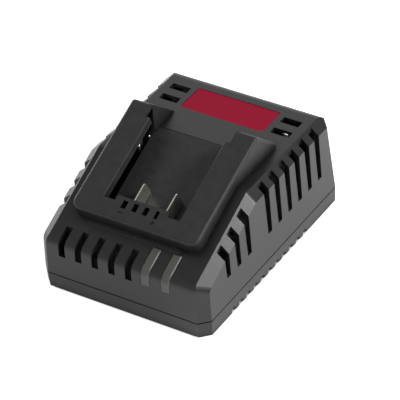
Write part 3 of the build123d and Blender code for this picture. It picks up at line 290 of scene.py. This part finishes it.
def in_pocket(g, place):
    """1 on the floor between the rails, which has a finish of its own, and 0 elsewhere."""
    x_y_z = g.split(place)
    inside = g.math("LESS_THAN", g.math("ABSOLUTE", x_y_z["X"]), POCKET_HALF_WIDTH)
    for limit in (
        g.math("GREATER_THAN", x_y_z["Y"], POCKET_FRONT),
        g.math("LESS_THAN", x_y_z["Y"], POCKET_BACK),
        g.math("GREATER_THAN", x_y_z["Z"], POCKET_LOWEST),
    ):
        inside = g.math("MULTIPLY", inside, limit)
    return inside


def varied(g, noise, colour, mottle):
    """The colour, darker and lighter by the share mottle with the noise."""
    ramp = g.node("ShaderNodeValToRGB")
    g.join(noise, ramp.inputs["Fac"])
    dark, light = ramp.color_ramp.elements
    dark.position = NOISE_LOW
    light.position = NOISE_HIGH
    dark.color = (*[c * (1 - mottle) for c in colour], 1.0)
    light.color = (*[min(1.0, c * (1 + mottle)) for c in colour], 1.0)
    return ramp.outputs["Color"]


def surface(name, colour, roughness, metallic=0.0, transmission=0.0, shine=0.5, grain=0.0,
            grain_size=0.3, mottle=0.15, patch_size=6.0, painted_shade_reach=0.0, painted_shade_kept=0.45,
            pocket=False):
    """Material with a fine grain in its relief, and soft variation in its colour and gloss.

    Sizes are in millimetres. shine is the specular level and grain the relief's height. mottle
    is the share by which the colour varies, in patches of patch_size. recess is how near other
    faces have to be to paint shade into a slot, and painted_shade_kept the share of the colour
    that the deepest slots keep under that painted shade, which dims their shine too. pocket
    gives the floor between the rails its own finish."""
    material = bpy.data.materials.new(name)
    material.use_nodes = True
    g = Graph(material.node_tree)
    shader = g.node("ShaderNodeBsdfPrincipled")
    shader.inputs["Metallic"].default_value = metallic
    shader.inputs["Transmission Weight"].default_value = transmission
    shader.inputs["Specular IOR Level"].default_value = shine

    place = g.coordinates("Object")
    patches = g.noise(place, patch_size, PATCH_DETAIL)
    fine = g.noise(place, grain_size, GRAIN_DETAIL)
    tint = varied(g, patches, colour, mottle)
    both = g.math("MULTIPLY", g.math("ADD", fine, patches), 0.5)
    gloss = g.map(both, NOISE_LOW, NOISE_HIGH, roughness * (1 - WEAR), roughness * (1 + WEAR))
    if pocket:
        own = in_pocket(g, place)
        tint = g.times(tint, g.map(own, 0.0, 1.0, 1.0, POCKET_LIGHTER))
        gloss = g.math("ADD", gloss, g.math("MULTIPLY", own, POCKET_GLOSS))
    # Painted shade in slots and hollows: colour and shine fall with how closed in the place is.
    if painted_shade_reach:
        occlusion = g.node("ShaderNodeAmbientOcclusion", samples=PAINTED_SHADE_SAMPLES)
        occlusion.inputs["Distance"].default_value = painted_shade_reach * MM
        painted_shade_factor = g.map(occlusion.outputs["AO"], PAINTED_SHADE_CLOSED, PAINTED_SHADE_OPEN, painted_shade_kept, 1.0)
        tint = g.times(tint, painted_shade_factor)
        level = g.map(painted_shade_factor, painted_shade_kept, 1.0, PAINTED_SHADE_SHINE * shine, shine)
        g.join(level, shader.inputs["Specular IOR Level"])
    g.join(tint, shader.inputs["Base Color"])
    g.join(gloss, shader.inputs["Roughness"])

    if grain:
        bump = g.node("ShaderNodeBump")
        bump.inputs["Strength"].default_value = 1.0
        bump.inputs["Distance"].default_value = grain * MM
        g.join(fine, bump.inputs["Height"])
        g.join(bump.outputs["Normal"], shader.inputs["Normal"])
    g.join(shader.outputs[0], g.node("ShaderNodeOutputMaterial").inputs["Surface"])
    return material


def dress(material, *pieces):
    """Put the material on those pieces, in place of what they wear."""
    for piece in pieces:
        worn = nodes[piece].data.materials
        worn.clear()
        worn.append(material)


# ---- case ------------------------------------------------------------------------------------
# Case, base and dock below get painted shade in their slots and hollows.
dress(surface("case_plastic", (0.0125, 0.0128, 0.0130), roughness=0.38, grain=0.02,
              grain_size=0.35, painted_shade_reach=5.0, pocket=True),
      "top_shell")
dress(surface("base_plastic", (0.0175, 0.0178, 0.0180), roughness=0.45, grain=0.02,
              grain_size=0.35, painted_shade_reach=5.0, painted_shade_kept=0.05),
      "base_shell")
dress(surface("dock_plastic", (0.0315, 0.0332, 0.0322), roughness=0.46, shine=0.30,
              grain=0.012, painted_shade_reach=12.0, painted_shade_kept=0.12),
      "battery_dock")
dress(surface("black_plastic", (0.012, 0.012, 0.012), roughness=0.4, grain=0.01),
      "terminal_block", "mains_inlet", "transformer_bobbin")
dress(surface("label_film", (0.320, 0.005, 0.030), roughness=0.5, shine=0.08, grain=0.004,
              mottle=0.05),
      "label_plate")
dress(surface("rating_film", (0.5, 0.5, 0.52), roughness=0.35, metallic=0.4, grain=0.004),
      "rating_label")
dress(surface("rubber", (0.015, 0.015, 0.015), roughness=0.75, grain=0.02),
      "foot_front_left", "foot_front_right", "foot_rear_left", "foot_rear_right")
dress(surface("screw_steel", (0.45, 0.45, 0.46), roughness=0.3, metallic=1.0, grain=0.004),
      "case_screws", "dock_screws", "block_screws", "heatsink_screws")
dress(surface("light_pipe", (0.13, 0.134, 0.116), roughness=0.3, transmission=0.3, mottle=0.03,
              patch_size=3.0),
      "light_pipe_left", "light_pipe_right")

# ---- contacts and leads ----------------------------------------------------------------------
dress(surface("contact_metal", (0.82, 0.79, 0.71), roughness=0.34, metallic=1.0, grain=0.002),
      "power_blade_negative", "power_blade_positive", "signal_contacts")
dress(surface("inlet_brass", (0.72, 0.66, 0.5), roughness=0.25, metallic=1.0, grain=0.002),
      "inlet_pins")
dress(surface("red_insulation", (0.35, 0.012, 0.012), roughness=0.45, grain=0.006),
      "output_lead_positive")
dress(surface("black_insulation", (0.015, 0.015, 0.015), roughness=0.45, grain=0.006),
      "output_lead_negative")
dress(surface("white_insulation", (0.6, 0.6, 0.57), roughness=0.45, grain=0.006),
      "signal_leads")

# ---- board and its parts ---------------------------------------------------------------------
# The board is a dark green laminate and its screws are steel, both made near-black as painted
# shade inside the vents.
dress(surface("board_laminate", (0.036, 0.042, 0.037), roughness=0.5, grain=0.01),
      "main_board")
dress(surface("steel_dark_as_vent_shade", (0.05, 0.05, 0.052), roughness=0.5, metallic=0.6, grain=0.004),
      "board_screws")
dress(surface("ferrite", (0.035, 0.035, 0.038), roughness=0.55, grain=0.02),
      "transformer_core")
dress(surface("winding_tape", (0.55, 0.36, 0.03), roughness=0.3, grain=0.01),
      "transformer_windings")
dress(surface("choke_coating", (0.03, 0.13, 0.06), roughness=0.4, grain=0.01),
      "choke_core")
dress(surface("copper_wire", (0.5, 0.16, 0.04), roughness=0.3, metallic=0.6, grain=0.03,
              grain_size=0.8),
      "choke_windings")
dress(surface("capacitor_sleeve", (0.015, 0.015, 0.018), roughness=0.3, grain=0.004),
      "bulk_capacitor", "output_capacitors")
dress(surface("film_capacitor", (0.5, 0.35, 0.04), roughness=0.35, grain=0.006),
      "x_capacitor")
dress(surface("disc_coating", (0.06, 0.18, 0.35), roughness=0.35, grain=0.01),
      "y_capacitor")
dress(surface("thermistor_coating", (0.02, 0.06, 0.035), roughness=0.4, grain=0.01),
      "thermistor")
dress(surface("chip_epoxy", (0.045, 0.045, 0.045), roughness=0.55, grain=0.01),
      "fuse", "bridge_rectifier", "controller_chip", "microcontroller", "optocouplers",
      "primary_transistor", "output_diode")
dress(surface("heatsink_metal", (0.62, 0.62, 0.64), roughness=0.35, metallic=1.0, grain=0.004),
      "primary_heatsink", "secondary_heatsink")
dress(surface("led_green", (0.05, 0.4, 0.08), roughness=0.15, transmission=0.6), "led_green")
dress(surface("led_red", (0.5, 0.03, 0.02), roughness=0.15, transmission=0.6), "led_red")

# ---- stage -----------------------------------------------------------------------------------
add_camera()
add_world()
add_floor()
add_lamp("key", azimuth=84, elevation=26, size=(0.7, 0.7), power=3.4)
add_lamp("strip", azimuth=103, elevation=42, size=(0.3, 0.3), power=13)
add_lamp("rim", azimuth=244, elevation=8, size=(0.5, 0.3), power=5)
bpy.context.scene.view_settings.view_transform = "Standard"
